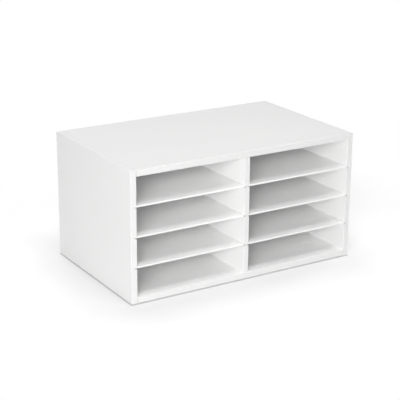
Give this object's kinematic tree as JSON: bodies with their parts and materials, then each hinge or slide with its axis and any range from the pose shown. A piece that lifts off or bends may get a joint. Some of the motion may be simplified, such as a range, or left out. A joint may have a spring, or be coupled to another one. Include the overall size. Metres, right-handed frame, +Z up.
{
  "type": "document organizer",
  "caption": "White desktop document organizer: open-fronted knock-down case with a centre divider and thin slide-out shelves for letter-size papers.",
  "frame": {"origin": "on the surface that it stands on, below the centre of the case", "axes": "+X to the right seen from the open front, +Y to the back, +Z up; the compartments open towards -Y"},
  "size_m": [0.495, 0.304, 0.256],
  "materials": {
    "white_board": "satin white melamine face on 12 mm fibreboard",
    "white_shelf": "satin white face on 3 mm hardboard",
    "white_back": "satin white face on 3 mm hardboard",
    "zinc": "die-cast zinc, dull",
    "steel": "bright zinc-plated steel",
    "beech": "bare beech",
    "rubber": "pale grey matte rubber"
  },
  "bodies": {
    "case": {"left_side_panel": "white_board", "right_side_panel": "white_board", "top_panel": "white_board", "bottom_panel": "white_board", "centre_divider": "white_board", "back_panel": "white_back", "cam_locks": "zinc", "cam_bolts": "steel", "dowels": "beech", "divider_screws": "steel", "back_nails": "steel", "foot_pads": "rubber"},
    "left_shelf_1": {"left_shelf_1": "white_shelf"},
    "left_shelf_2": {"left_shelf_2": "white_shelf"},
    "left_shelf_3": {"left_shelf_3": "white_shelf"},
    "right_shelf_1": {"right_shelf_1": "white_shelf"},
    "right_shelf_2": {"right_shelf_2": "white_shelf"},
    "right_shelf_3": {"right_shelf_3": "white_shelf"}
  },
  "joints": [
    {"name": "left_shelf_1_slide", "type": "slide", "parent": "case", "child": "left_shelf_1", "axis": [0, -1, 0], "range_m": [0, 0.31]},
    {"name": "left_shelf_2_slide", "type": "slide", "parent": "case", "child": "left_shelf_2", "axis": [0, -1, 0], "range_m": [0, 0.31]},
    {"name": "left_shelf_3_slide", "type": "slide", "parent": "case", "child": "left_shelf_3", "axis": [0, -1, 0], "range_m": [0, 0.31]},
    {"name": "right_shelf_1_slide", "type": "slide", "parent": "case", "child": "right_shelf_1", "axis": [0, -1, 0], "range_m": [0, 0.31]},
    {"name": "right_shelf_2_slide", "type": "slide", "parent": "case", "child": "right_shelf_2", "axis": [0, -1, 0], "range_m": [0, 0.31]},
    {"name": "right_shelf_3_slide", "type": "slide", "parent": "case", "child": "right_shelf_3", "axis": [0, -1, 0], "range_m": [0, 0.31]}
  ]
}
